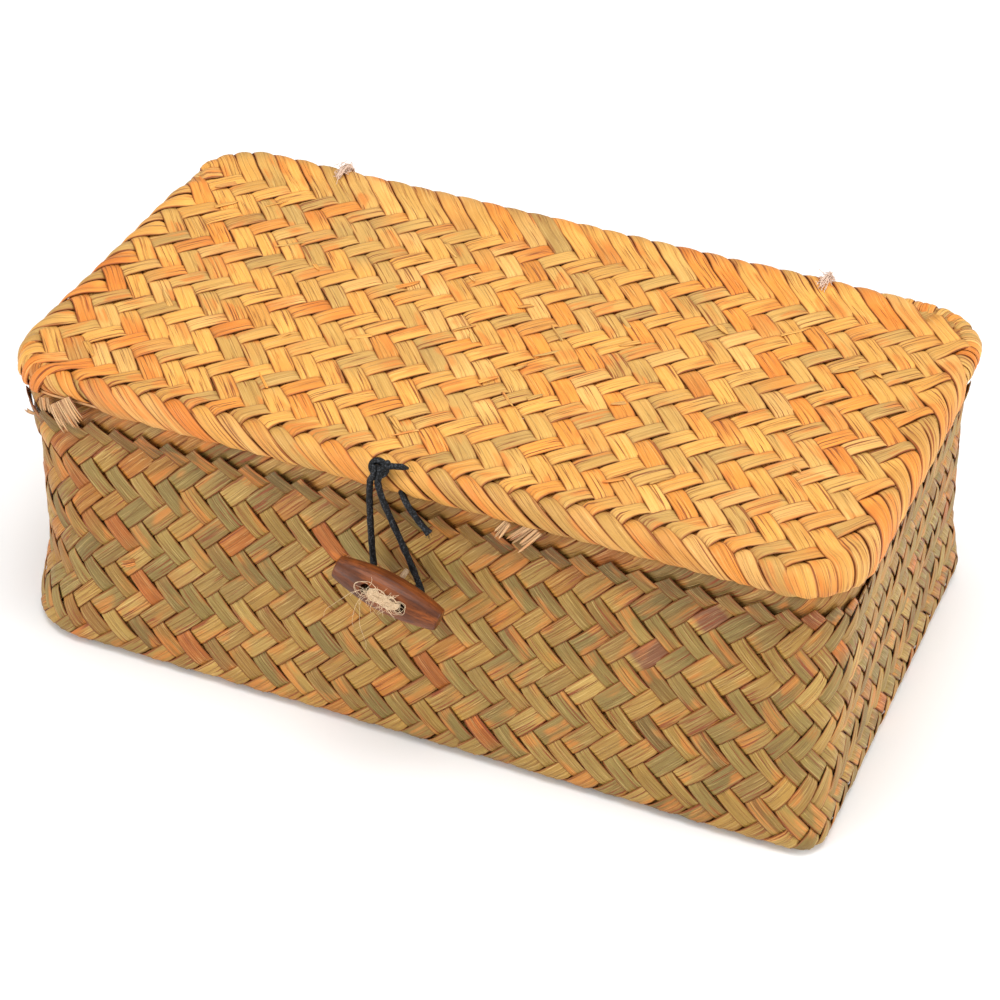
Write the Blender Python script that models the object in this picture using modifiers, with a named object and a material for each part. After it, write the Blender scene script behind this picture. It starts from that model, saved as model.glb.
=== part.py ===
"""A rectangular lidded box plaited from flat seagrass strips, closed by a cord loop over a wooden toggle.

Metres, +Z up. X runs along the box, the closure is on the -Y side, and the origin is the centre of the
underside that the box stands on.
"""
import math

import bmesh
import bpy
from mathutils import Matrix, Vector

# ---- driving dimensions -------------------------------------------------------------------------------
GAP = 0.0003                                  # clearance between pieces that touch

LID_HALF_LENGTH = 0.1500
LID_HALF_DEPTH = 0.0814
LID_CORNER_RADIUS = 0.0238
LID_ROLL_RADIUS = 0.0048                      # the rolled border of the lid
LID_ROLL_HEIGHT = 0.1012                      # its centre line
LID_PANEL_BOTTOM = 0.1022
LID_PANEL_TOP = 0.1048
LID_PANEL_INSET = 0.0082                      # from the lid's outer edge to the panel's edge inside the roll
WRAP_THICKNESS = 0.0009
LID_CORE_RADIUS = 0.0029

RIM_HALF_LENGTH = 0.1442                      # centre line of the box's hem
RIM_HALF_DEPTH = 0.0756
RIM_CORNER_RADIUS = 0.0190
RIM_HALF_HEIGHT = 0.0055
RIM_HALF_THICKNESS = 0.0032
RIM_CORE_RADIUS = 0.0017

WALL_THICKNESS = 0.0024
WALL_TOP = 0.0888
# half length, front, back and corner radius of the wall's outer face at each height
WALL_SECTIONS = (
    (0.0000, 0.1462, -0.0874, 0.0762, 0.0170),
    (0.0011, 0.1485, -0.0897, 0.0785, 0.0190),
    (0.0036, 0.1495, -0.0908, 0.0794, 0.0200),
    (0.0100, 0.1489, -0.0899, 0.0793, 0.0220),
    (0.0300, 0.1470, -0.0866, 0.0787, 0.0240),
    (0.0600, 0.1467, -0.0819, 0.0780, 0.0240),
    (0.0800, 0.1462, -0.0782, 0.0771, 0.0220),
    (0.0845, 0.1454, -0.0768, 0.0768, 0.0202),
    (WALL_TOP, 0.1454, -0.0768, 0.0768, 0.0202),
)

HINGE_AXIS = Vector((0.0, 0.0817, 0.09625))
HINGE_TIE_POSITIONS = {"hinge_tie_left": -0.097, "hinge_tie_right": 0.089}
HINGE_THREAD_RADIUS = 0.0008

CORD_RADIUS = 0.0010
KNOT_CENTRE = Vector((-0.0055, -0.0829, 0.1063))
KNOT_RADII = Vector((0.0040, 0.0030, 0.0033))
LOOP_AXIS = Vector((-0.0066, -0.0848, 0.1022))

TOGGLE_CENTRE = Vector((0.0023, -0.0960, 0.0676))
TOGGLE_LENGTH = 0.0376
TOGGLE_MID_RADIUS = 0.00645
TOGGLE_END_RADIUS = 0.0037
TOGGLE_TILT = math.radians(16.6)              # right end down
TOGGLE_ROLL = math.radians(-21.0)             # the holes face a little upward
TOGGLE_HOLE_RADIUS = 0.0019
TOGGLE_HOLE_SPACING = 0.0126
STITCH_RADIUS = 0.0012
STITCH_KNOT_RADIUS = 0.0028
SHANK_HOLE_RADIUS = 0.0016

CORNER_STEPS = 7
QUARTER_TURN = Matrix.Rotation(math.pi / 2, 4, "X")    # turns a cone's axis from Z to Y
BODY_NAME = "seagrass_box"


# ---- scene helpers ------------------------------------------------------------------------------------
for old in list(bpy.data.objects):
    bpy.data.objects.remove(old)
parts = bpy.data.collections.new(BODY_NAME)
cutters = bpy.data.collections.new("cutters")
for collection in (parts, cutters):
    bpy.context.scene.collection.children.link(collection)


def material(name, colour, roughness, metallic=0.0):
    made = bpy.data.materials.new(name)
    made.use_nodes = True
    shader = made.node_tree.nodes["Principled BSDF"]
    shader.inputs["Base Color"].default_value = (*colour, 1.0)
    shader.inputs["Roughness"].default_value = roughness
    shader.inputs["Metallic"].default_value = metallic
    return made


def new_object(name, data, finish):
    made = bpy.data.objects.new(name, data)
    parts.objects.link(made)
    made.data.materials.append(finish)
    return made


def empty(name, place, rotation=(0.0, 0.0, 0.0)):
    made = bpy.data.objects.new(name, None)
    made.location = place
    made.rotation_euler = rotation
    parts.objects.link(made)
    bpy.context.view_layer.update()
    return made


def attach(piece, pivot):
    """Parents a piece that is modelled in place to the empty on its joint's axis."""
    piece.parent = pivot
    piece.matrix_parent_inverse = pivot.matrix_world.inverted()


def mesh_from(bm, name):
    bmesh.ops.recalc_face_normals(bm, faces=bm.faces)
    mesh = bpy.data.meshes.new(name)
    bm.to_mesh(mesh)
    bm.free()
    return mesh


def smooth(mesh, angle=35.0):
    mesh.shade_smooth()
    mesh.set_sharp_from_angle(angle=math.radians(angle))


def as_cutter(cutter):
    cutters.objects.link(cutter)
    cutter.hide_render = True
    cutter.display_type = "WIRE"
    return cutter


def boolean(piece, other, operation):
    change = piece.modifiers.new(f"{operation.lower()}_{other.name}", "BOOLEAN")
    change.operation = operation
    change.object = other
    change.solver = "EXACT"


# ---- outlines, lofts and sweeps -----------------------------------------------------------------------
def rounded_outline(half_length, front, back, radius):
    """Points and outward directions round a rectangle with round corners, anticlockwise from above."""
    centres = (
        (half_length - radius, front + radius, 270.0),
        (half_length - radius, back - radius, 0.0),
        (-half_length + radius, back - radius, 90.0),
        (-half_length + radius, front + radius, 180.0),
    )
    outline = []
    for x, y, start in centres:
        for step in range(CORNER_STEPS + 1):
            angle = math.radians(start + 90.0 * step / CORNER_STEPS)
            way = Vector((math.cos(angle), math.sin(angle), 0.0))
            outline.append((Vector((x, y, 0.0)) + radius * way, way))
    return outline


def add_ring(bm, points):
    return [bm.verts.new(p) for p in points]


def bridge(bm, ring, following):
    count = len(ring)
    for i in range(count):
        j = (i + 1) % count
        bm.faces.new((ring[i], ring[j], following[j], following[i]))


def swept_ring(name, outline, section, finish):
    """Sweeps a closed section of (outward, up) points round an outline. The last station meets the first."""
    bm = bmesh.new()
    rings = [
        add_ring(bm, [point + out * way + Vector((0.0, 0.0, up)) for out, up in section])
        for point, way in outline
    ]
    for ring, following in zip(rings, rings[1:] + rings[:1]):
        bridge(bm, ring, following)
    piece = new_object(name, mesh_from(bm, name), finish)
    smooth(piece.data)
    return piece


def slit_tube(half_width, half_height, power, thickness, slit_from, slit_to, centre_up, steps=18):
    """A C-shaped section: a superellipse wall that is open between two angles, in degrees."""
    def ring_point(angle, inset):
        c, s = math.cos(angle), math.sin(angle)
        out = math.copysign(abs(c) ** (2.0 / power), c) * (half_width - inset)
        up = math.copysign(abs(s) ** (2.0 / power), s) * (half_height - inset)
        return out, centre_up + up

    first, last = math.radians(slit_to), math.radians(slit_from + 360.0)
    angles = [first + (last - first) * i / steps for i in range(steps + 1)]
    return [ring_point(a, 0.0) for a in angles] + [ring_point(a, thickness) for a in reversed(angles)]


def round_section(radius, centre_up, steps=10):
    return [
        (radius * math.cos(2 * math.pi * i / steps), centre_up + radius * math.sin(2 * math.pi * i / steps))
        for i in range(steps)
    ]


def thread(name, points, radius, finish, rounds=5):
    """A tube with closed ends along a smooth curve through the points."""
    route = smooth_route(points, rounds)
    curve = bpy.data.curves.new(name, "CURVE")
    curve.dimensions = "3D"
    curve.bevel_depth = radius
    curve.bevel_resolution = 2
    curve.use_fill_caps = True
    spline = curve.splines.new("POLY")
    spline.points.add(len(route) - 1)
    for point, place in zip(spline.points, route):
        point.co = (*place, 1.0)
    return new_object(name, curve, finish)


def smooth_route(points, rounds):
    """Catmull-Rom points along a route, which keeps its two ends."""
    places = [Vector(p) for p in points]
    padded = [2 * places[0] - places[1], *places, 2 * places[-1] - places[-2]]
    route = []
    for a, b, c, d in zip(padded, padded[1:], padded[2:], padded[3:]):
        for step in range(rounds):
            t = step / rounds
            route.append(
                0.5 * (2 * b + (c - a) * t + (2 * a - 5 * b + 4 * c - d) * t**2
                       + (3 * b - a - 3 * c + d) * t**3)
            )
    return route + [places[-1]]


def curve_to_mesh(curve_object):
    """The curve's tube as a welded mesh object of the same name and place."""
    name, place = curve_object.name, curve_object.matrix_world.copy()
    finish = curve_object.data.materials[0]
    graph = bpy.context.evaluated_depsgraph_get()
    mesh = bpy.data.meshes.new_from_object(curve_object.evaluated_get(graph))
    bpy.data.objects.remove(curve_object)
    bm = bmesh.new()
    bm.from_mesh(mesh)
    bmesh.ops.remove_doubles(bm, verts=bm.verts, dist=1e-6)
    bm.to_mesh(mesh)
    bm.free()
    mesh.materials.clear()
    made = new_object(name, mesh, finish)
    made.matrix_world = place
    return made


# ---- finishes -----------------------------------------------------------------------------------------
SEAGRASS = material("seagrass", (0.56, 0.36, 0.13), 0.62)
SEAGRASS_LID = material("seagrass_lid", (0.68, 0.38, 0.11), 0.58)
CORE_GRASS = material("core_grass", (0.45, 0.33, 0.16), 0.80)
WAXED_CORD = material("waxed_cord", (0.015, 0.015, 0.018), 0.55)
TOGGLE_WOOD = material("toggle_wood", (0.16, 0.035, 0.012), 0.28)
JUTE = material("jute_thread", (0.66, 0.52, 0.36), 0.90)


# ---- box ----------------------------------------------------------------------------------------------
def basket_body():
    """The plaited base and walls: one open shell, thickened inward, with the toggle's stitch hole."""
    bm = bmesh.new()
    rings = []
    for height, half_length, front, back, radius in WALL_SECTIONS:
        outline = rounded_outline(half_length, front, back, radius)
        rings.append(add_ring(bm, [point + Vector((0.0, 0.0, height)) for point, _ in outline]))
    bm.faces.new(list(reversed(rings[0])))
    for ring, following in zip(rings, rings[1:]):
        bridge(bm, ring, following)
    body = new_object("basket_body", mesh_from(bm, "basket_body"), SEAGRASS)
    smooth(body.data)
    shell = body.modifiers.new("thickness", "SOLIDIFY")
    shell.thickness = WALL_THICKNESS
    shell.offset = -1.0
    shell.use_even_offset = True

    bm = bmesh.new()
    bmesh.ops.create_cone(
        bm, cap_ends=True, segments=20, radius1=SHANK_HOLE_RADIUS, radius2=SHANK_HOLE_RADIUS, depth=0.012,
        matrix=Matrix.Translation((shank_start().x, -0.0795, shank_start().z)) @ QUARTER_TURN,
    )
    cutter = as_cutter(bpy.data.objects.new("shank_hole", mesh_from(bm, "shank_hole")))
    boolean(body, cutter, "DIFFERENCE")
    return body


def body_rim():
    """The hem: a core hoop on top of the wall's edge, and the strips folded over both."""
    outline = rounded_outline(RIM_HALF_LENGTH, -RIM_HALF_DEPTH, RIM_HALF_DEPTH, RIM_CORNER_RADIUS)
    centre = LID_ROLL_HEIGHT - LID_ROLL_RADIUS - GAP - RIM_HALF_HEIGHT
    wrap = slit_tube(RIM_HALF_THICKNESS, RIM_HALF_HEIGHT, 2.8, WRAP_THICKNESS, 237.0, 303.0, centre)
    swept_ring("body_rim_wrap", outline, wrap, SEAGRASS)
    swept_ring("body_rim_core", outline, round_section(RIM_CORE_RADIUS, centre + 0.0022), CORE_GRASS)


# ---- lid ----------------------------------------------------------------------------------------------
def lid(pivot):
    """The lid's flat plaited panel, whose edge is held in the slit of the rolled border."""
    inset = LID_ROLL_RADIUS
    roll_path = rounded_outline(
        LID_HALF_LENGTH - inset, -LID_HALF_DEPTH + inset, LID_HALF_DEPTH - inset, LID_CORNER_RADIUS - inset
    )
    wrap = slit_tube(LID_ROLL_RADIUS, LID_ROLL_RADIUS, 2.0, WRAP_THICKNESS, 118.0, 174.5, LID_ROLL_HEIGHT)
    attach(swept_ring("lid_rim_wrap", roll_path, wrap, SEAGRASS_LID), pivot)
    core = swept_ring("lid_rim_core", roll_path, round_section(LID_CORE_RADIUS, LID_ROLL_HEIGHT), CORE_GRASS)
    attach(core, pivot)

    inset = LID_PANEL_INSET
    edge = rounded_outline(
        LID_HALF_LENGTH - inset, -LID_HALF_DEPTH + inset, LID_HALF_DEPTH - inset, LID_CORNER_RADIUS - inset
    )
    bm = bmesh.new()
    low = add_ring(bm, [point + Vector((0.0, 0.0, LID_PANEL_BOTTOM)) for point, _ in edge])
    high = add_ring(bm, [point + Vector((0.0, 0.0, LID_PANEL_TOP)) for point, _ in edge])
    bridge(bm, low, high)
    bm.faces.new(list(reversed(low)))
    bm.faces.new(high)
    attach(new_object("lid_panel", mesh_from(bm, "lid_panel"), SEAGRASS_LID), pivot)


def hinge_ties():
    """Thread stitches that hold the lid's roll to the hem at the back, outside both."""
    route = (
        (0.0719, 0.1060), (0.0745, 0.1071), (0.0775, 0.1072), (0.0803, 0.1061), (0.0822, 0.1037),
        (0.0827, 0.1010), (0.0824, 0.0982), (0.0813, 0.0961), (0.0803, 0.0935), (0.0801, 0.0905),
        (0.0801, 0.0870), (0.0796, 0.0845), (0.0788, 0.0833),
    )
    for name, x in HINGE_TIE_POSITIONS.items():
        thread(name, [(x, y, z) for y, z in route], HINGE_THREAD_RADIUS, JUTE, rounds=2)


# ---- closure ------------------------------------------------------------------------------------------
def closure_cord(lid_pivot, loop_pivot):
    """The waxed cord: its knot on the lid's roll, its two tails, and the loop that hangs over the toggle."""
    bm = bmesh.new()
    bmesh.ops.create_uvsphere(bm, u_segments=16, v_segments=10, radius=1.0)
    bmesh.ops.scale(bm, vec=KNOT_RADII, verts=bm.verts)
    knot = new_object("closure_knot", mesh_from(bm, "closure_knot"), WAXED_CORD)
    smooth(knot.data)
    knot.location = KNOT_CENTRE
    bpy.context.view_layer.update()
    attach(knot, lid_pivot)

    upper = ((-0.0003, -0.0823, 0.1077), (0.0013, -0.0813, 0.1073), (0.0030, -0.0802, 0.1065))
    lower = (
        (0.0003, -0.0817, 0.0978), (0.0030, -0.0830, 0.0955), (0.0060, -0.0842, 0.0926),
        (0.0093, -0.0849, 0.0895), (0.0122, -0.0853, 0.0870),
    )
    attach(thread("closure_tail_upper", upper, CORD_RADIUS, WAXED_CORD, rounds=3), lid_pivot)
    attach(thread("closure_tail_lower", lower, CORD_RADIUS, WAXED_CORD, rounds=2), lid_pivot)

    loop = (
        (-0.0082, -0.0850, 0.1020), (-0.0086, -0.0851, 0.0960), (-0.0086, -0.0852, 0.0880),
        (-0.0084, -0.0852, 0.0780), (-0.0080, -0.0852, 0.0690), (-0.0071, -0.0852, 0.0620),
        (-0.0040, -0.0852, 0.0570), (0.0010, -0.0852, 0.0550), (0.0060, -0.0852, 0.0555),
        (0.0090, -0.0852, 0.0590), (0.0087, -0.0852, 0.0630), (0.0067, -0.0852, 0.0690),
        (0.0030, -0.0852, 0.0785), (-0.0010, -0.0852, 0.0880), (-0.0042, -0.0851, 0.0960),
        (-0.0057, -0.0850, 0.1020),
    )
    attach(thread("closure_loop", loop, CORD_RADIUS, WAXED_CORD, rounds=3), loop_pivot)


def toggle_lie():
    """The rotation of the toggle from lying along X with its holes along Y."""
    return Matrix.Rotation(TOGGLE_TILT, 3, "Y") @ Matrix.Rotation(TOGGLE_ROLL, 3, "X")


def on_toggle(along, back):
    """A place from the toggle's own axes: along it, and behind it along its holes."""
    return TOGGLE_CENTRE + toggle_lie() @ Vector((along, back, 0.0))


def back_run():
    """How far behind the toggle's axis its thread runs."""
    return TOGGLE_MID_RADIUS + STITCH_RADIUS + GAP


def shank_start():
    """Where the thread leaves the toggle's back for the wall; the toggle turns about this line along Y."""
    return on_toggle(0.0, back_run())


def toggle(pivot):
    """A turned spindle with flat ends and two holes for the thread."""
    steps = 14
    profile = [(-TOGGLE_LENGTH / 2, 0.0)]
    for step in range(steps + 1):
        t = 2.0 * step / steps - 1.0
        swell = math.cos(0.5 * math.pi * t) ** 0.9
        radius = TOGGLE_END_RADIUS + (TOGGLE_MID_RADIUS - TOGGLE_END_RADIUS) * swell
        profile.append((t * TOGGLE_LENGTH / 2, radius))
    profile.append((TOGGLE_LENGTH / 2, 0.0))

    bm = bmesh.new()
    points = [bm.verts.new((along, out, 0.0)) for along, out in profile]
    for a, b in zip(points, points[1:]):
        bm.edges.new((a, b))
    mesh = bpy.data.meshes.new("toggle")
    bm.to_mesh(mesh)
    bm.free()
    body = new_object("toggle", mesh, TOGGLE_WOOD)
    turned = body.modifiers.new("turned", "SCREW")
    turned.axis = "X"
    turned.steps = turned.render_steps = 28
    turned.use_merge_vertices = True
    turned.merge_threshold = 0.00001
    turned.use_smooth_shade = True
    turned.use_normal_calculate = True
    edge = body.modifiers.new("edges", "BEVEL")
    edge.width = 0.0005
    edge.segments = 2
    edge.limit_method = "ANGLE"
    edge.angle_limit = math.radians(40)
    body.location = TOGGLE_CENTRE
    body.rotation_euler = (TOGGLE_ROLL, TOGGLE_TILT, 0.0)
    bpy.context.view_layer.update()
    attach(body, pivot)

    for side, along in (("left", -TOGGLE_HOLE_SPACING / 2), ("right", TOGGLE_HOLE_SPACING / 2)):
        bm = bmesh.new()
        bmesh.ops.create_cone(
            bm, cap_ends=True, segments=20, radius1=TOGGLE_HOLE_RADIUS, radius2=TOGGLE_HOLE_RADIUS,
            depth=0.02, matrix=Matrix.Translation((along, 0.0, 0.0)) @ QUARTER_TURN,
        )
        cutter = as_cutter(bpy.data.objects.new(f"hole_{side}", mesh_from(bm, f"hole_{side}")))
        cutter.matrix_world = Matrix.LocRotScale(TOGGLE_CENTRE, toggle_lie(), None)
        boolean(body, cutter, "DIFFERENCE")


def toggle_stitch(pivot):
    """Jute thread through both holes, and its shank through the wall to a knot inside the box."""
    half, run = TOGGLE_HOLE_SPACING / 2, back_run()
    around = (
        (-half + 0.0050, run), (-half + 0.0014, run - 0.0001), (-half, run - 0.0016), (-half, 0.0),
        (-half, -run + 0.0016), (-half + 0.0014, -run + 0.0001), (0.0, -run), (half - 0.0014, -run + 0.0001),
        (half, -run + 0.0016), (half, 0.0), (half, run - 0.0016), (half - 0.0014, run - 0.0001),
        (half - 0.0050, run),
    )
    loop = thread("toggle_stitch", [on_toggle(*place) for place in around], STITCH_RADIUS, JUTE, rounds=3)
    bpy.context.view_layer.update()
    loop = curve_to_mesh(loop)
    attach(loop, pivot)

    start = shank_start()
    inner_end = Vector((start.x, -0.0779, start.z))
    length = inner_end.y - start.y
    tube = bmesh.new()
    bmesh.ops.create_cone(
        tube, cap_ends=True, segments=12, radius1=STITCH_RADIUS, radius2=STITCH_RADIUS, depth=length,
        matrix=Matrix.Translation((start + inner_end) / 2) @ QUARTER_TURN,
    )
    shank = as_cutter(bpy.data.objects.new("shank", mesh_from(tube, "shank")))
    boolean(loop, shank, "UNION")
    bar = bmesh.new()
    across = Matrix.LocRotScale(start, toggle_lie(), None) @ Matrix.Rotation(math.pi / 2, 4, "Y")
    bmesh.ops.create_cone(
        bar, cap_ends=True, segments=12, radius1=STITCH_RADIUS * 0.94, radius2=STITCH_RADIUS * 0.94,
        depth=TOGGLE_HOLE_SPACING - 0.0050, matrix=across,
    )
    bridge_piece = as_cutter(bpy.data.objects.new("back_bridge", mesh_from(bar, "back_bridge")))
    boolean(loop, bridge_piece, "UNION")

    ball = bmesh.new()
    bmesh.ops.create_uvsphere(ball, u_segments=14, v_segments=8, radius=STITCH_KNOT_RADIUS)
    knot = new_object("toggle_stitch_knot", mesh_from(ball, "toggle_stitch_knot"), JUTE)
    smooth(knot.data)
    knot.location = inner_end + Vector((0.0, GAP + STITCH_KNOT_RADIUS, 0.0))
    bpy.context.view_layer.update()
    attach(knot, pivot)


# ---- assembly -----------------------------------------------------------------------------------------
lid_pivot = empty("lid_hinge_axis", HINGE_AXIS)
loop_pivot = empty("loop_swing_axis", LOOP_AXIS)
toggle_pivot = empty("toggle_turn_axis", shank_start())
basket_body()
body_rim()
lid(lid_pivot)
hinge_ties()
closure_cord(lid_pivot, loop_pivot)
toggle(toggle_pivot)
toggle_stitch(toggle_pivot)
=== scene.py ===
"""Looks of a lidded box plaited from dyed seagrass strips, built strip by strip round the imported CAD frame.

Blender's objects are in metres. The weave is worked out in millimetres, in flat coordinates that the
functions box_surface and lid_surface fold into the shape of the box and the lid.
"""
import math

import bpy
import numpy as np
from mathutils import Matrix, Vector


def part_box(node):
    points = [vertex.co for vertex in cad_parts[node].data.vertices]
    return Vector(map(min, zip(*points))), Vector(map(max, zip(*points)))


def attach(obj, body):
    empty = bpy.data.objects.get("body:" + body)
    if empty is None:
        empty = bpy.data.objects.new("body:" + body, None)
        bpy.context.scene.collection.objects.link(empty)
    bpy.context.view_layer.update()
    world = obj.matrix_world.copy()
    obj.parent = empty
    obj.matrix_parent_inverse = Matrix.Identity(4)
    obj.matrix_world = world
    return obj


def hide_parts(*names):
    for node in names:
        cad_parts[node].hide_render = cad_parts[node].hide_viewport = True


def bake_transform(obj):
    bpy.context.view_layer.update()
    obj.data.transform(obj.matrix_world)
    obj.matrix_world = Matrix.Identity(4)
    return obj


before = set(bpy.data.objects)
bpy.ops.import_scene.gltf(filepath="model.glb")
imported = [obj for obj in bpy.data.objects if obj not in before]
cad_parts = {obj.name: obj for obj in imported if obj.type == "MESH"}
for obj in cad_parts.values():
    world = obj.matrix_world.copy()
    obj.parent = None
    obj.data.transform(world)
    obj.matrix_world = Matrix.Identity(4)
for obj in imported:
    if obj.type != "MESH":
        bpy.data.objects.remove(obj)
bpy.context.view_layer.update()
MM = 0.001
rng = np.random.default_rng(20)

# ---- driving dimensions, in millimetres ----
PITCH = 10.0  # of the strips round the walls and across the base
WALL_PITCH = 9.3  # the same measured up the walls, where the weave is a little closer
NET_LENGTH = 15 * PITCH  # half length and half depth of the flat net that the box is folded from
NET_DEPTH = 9 * PITCH
PERIMETER = 4 * (NET_LENGTH + NET_DEPTH)
BASE_FOLD = 2.4  # how softly the walls turn into the base
SHEET_MIDDLE = 1.2  # from the CAD wall's outer face to the middle of the weave
# heights above the floor, and the radii of the walls' corners there, on the left and the right
CORNER_HEIGHTS = (2.0, 26.0, 70.0, 80.0)
LEFT_CORNERS = (25.0, 32.0, 24.0, 15.0)
RIGHT_CORNERS = (9.0, 18.0, 21.0, 19.0)
WALL_LEVELS = 19  # crossings from the base edge to the hem
WALL_PHASE = 2  # which levels the rising strips lie outside on
HEM_START = 80.0
# the hem's part of a strip: distance outside the wall's middle, and height
HEM_FOLD = ((0.8, 80.0), (1.0, 82.5), (1.5, 85.0), (2.1, 87.5), (2.5, 90.2), (2.4, 92.8), (1.5, 94.9),
            (0.0, 95.6), (-1.5, 95.0), (-2.4, 93.0), (-2.7, 90.4), (-2.4, 87.5), (-1.6, 85.0), (-1.3, 82.0))

LID_PITCH_X = 9.43
LID_PITCH_Y = 10.5
LID_MIDDLE = (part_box("lid_panel")[0].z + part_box("lid_panel")[1].z) / 2 / MM
ROLL_OUT = 4.8  # from the panel's edge to the roll's centre line, and on to its outside
ROLL_HEIGHT = 101.1
LID_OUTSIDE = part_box("lid_rim_wrap")[1] / MM
PANEL_LENGTH = LID_OUTSIDE.x - 2 * ROLL_OUT  # half length and half depth of the panel inside the roll
PANEL_DEPTH = LID_OUTSIDE.y - 2 * ROLL_OUT
PANEL_CORNER = 14.2
STRAIGHT_X = PANEL_LENGTH - PANEL_CORNER  # half lengths of its straight edges
STRAIGHT_Y = PANEL_DEPTH - PANEL_CORNER
# the rolled part of a strip: distance outside the panel's edge, and height
ROLL_FOLD = ((-4.0, 103.5), (-2.0, 103.65), (0.0, 104.1), (2.4, 104.9), (4.6, 105.1), (6.6, 104.5),
             (8.2, 102.9), (9.1, 100.9), (9.4, 98.9), (8.9, 97.3), (7.0, 96.8), (4.8, 96.9), (2.6, 97.5),
             (1.0, 99.0), (0.4, 101.0), (-1.5, 102.0))
ROLL_LEAD = 4.0  # of the fold's length, inside the panel's edge
ROLL_LEAN = 0.55  # extra run along the front roll for each millimetre round it
LEAN_FADE = 34.0  # the length over which that lean sets in, from each corner
TUCKED_END = 9.0  # how far past the panel's edge a strip is tucked under the others
EDGE_REACH = 0.45  # crossings past the panel's edge that are still woven
FRONT_REACH = 0.85  # the same along the front, to the right of the next value
FRONT_REACH_FROM = -20.0
BACK_REACH = -0.40  # the same along the back, where the weave stops short of the roll

STRIP_LIFT = 0.50  # of a strip's middle above or below the middle of the weave
TURN_SHARE = 0.66  # of the way between two crossings that a strip takes to change face
WALL_ARCH = 0.36
LID_ARCH = 0.15
STRIP_TOP = ((-1.0, 0.0), (-0.88, 0.19), (-0.5, 0.26), (0.0, 0.29), (0.5, 0.26), (0.88, 0.19), (1.0, 0.0))
STRIP_BOTTOM = ((0.8, -0.2), (0.0, -0.25), (-0.8, -0.2))
SHADE_POWERS = (1.0, 1.25, 1.4)  # a shaded strip loses more blue and green than red

# ---- colours, linear ----
LID_PALETTE = ((0.81, 0.397, 0.077), (0.85, 0.458, 0.125), (0.67, 0.369, 0.086), (0.58, 0.335, 0.088),
               (0.83, 0.312, 0.043), (0.77, 0.241, 0.028), (0.62, 0.208, 0.029))
RISING_PALETTE = ((0.55, 0.31, 0.063), (0.47, 0.268, 0.059), (0.41, 0.252, 0.057), (0.58, 0.26, 0.037),
                  (0.33, 0.222, 0.053), (0.6, 0.185, 0.021), (0.63, 0.39, 0.097))
FALLING_PALETTE = ((0.38, 0.257, 0.059), (0.31, 0.212, 0.049), (0.48, 0.28, 0.052), (0.43, 0.2, 0.03),
                   (0.25, 0.15, 0.031), (0.56, 0.165, 0.021), (0.54, 0.335, 0.077))
STAIN = (0.19, 0.056, 0.030)
STAIN_PLACES = ((86.5, -82.0, 59.5), (106.5, -79.5, 75.4))
STAIN_NEAR = 3.4  # only the strip that passes this close to the place is dyed
STAIN_REACH = 6.6  # millimetres along it
FRAYED = (0.74, 0.45, 0.22)
TORN = (0.80, 0.32, 0.08)
WELT = (0.62, 0.33, 0.13)  # the fold along the lower edge of the roll


# ---- camera ----
def aimed(name, data, place, target):
    """A camera or a light that looks from its place to a target."""
    made = bpy.data.objects.new(name, data)
    made.location = place
    made.rotation_euler = (Vector(target) - made.location).to_track_quat("-Z", "Y").to_euler()
    bpy.context.scene.collection.objects.link(made)
    return made


def make_camera():
    data = bpy.data.cameras.new("camera")
    data.lens = 97.3
    data.sensor_width = 36.0
    made = aimed("camera", data, (0.30157, -0.69238, 0.61445), (-0.00066, 0.0, 0.03669))
    bpy.context.scene.camera = made


# ---- shader graphs ----
class Graph:
    """A material's node tree, built with short calls."""

    def __init__(self, name):
        self.material = bpy.data.materials.new(name)
        self.material.use_nodes = True
        self.tree = self.material.node_tree
        self.shader = self.tree.nodes["Principled BSDF"]

    def put(self, socket, value):
        if isinstance(value, bpy.types.NodeSocket):
            self.tree.links.new(value, socket)
        else:
            socket.default_value = (*value, 1.0)[:4] if socket.type == "RGBA" else value

    def node(self, kind, inputs, **settings):
        """A new node's outputs. Its inputs are given by name or number."""
        made = self.tree.nodes.new("ShaderNode" + kind)
        for name, value in settings.items():
            setattr(made, name, value)
        for key, value in inputs.items():
            self.put(made.inputs[key], value)
        return made.outputs

    def finish(self, **values):
        """Sets the shader's own sockets, named in lower case with underscores."""
        for name, value in values.items():
            wanted = [s for s in self.shader.inputs if s.name.lower().replace(" ", "_") == name]
            self.put(wanted[0], value)
        return self.material

    def attribute(self, name):
        return self.node("Attribute", {}, attribute_name=name)

    def place(self):
        return self.node("TexCoord", {})["Object"]

    def maths(self, operation, first, second=0.0):
        return self.node("Math", {0: first, 1: second}, operation=operation)[0]

    def noise(self, vector, factors, detail, roughness):
        """Noise with a scale of its own along each axis."""
        scaled = self.node("VectorMath", {0: vector, 1: factors}, operation="MULTIPLY")[0]
        inputs = {"Vector": scaled, "Scale": 1.0, "Detail": detail, "Roughness": roughness}
        return self.node("TexNoise", inputs)["Fac"]

    def ramp(self, value, low, high, start=0.0, end=1.0):
        inputs = {"Value": value, "From Min": low, "From Max": high, "To Min": start, "To Max": end}
        return self.node("MapRange", inputs, interpolation_type="SMOOTHSTEP")["Result"]

    def mix(self, factor, first, second, blend="MIX"):
        inputs = {0: factor, 6: first, 7: second}
        return self.node("Mix", inputs, data_type="RGBA", blend_type=blend)[2]

    def bump(self, height, strength, distance):
        inputs = {"Strength": strength, "Distance": distance, "Height": height}
        return self.node("Bump", inputs)["Normal"]


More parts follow.
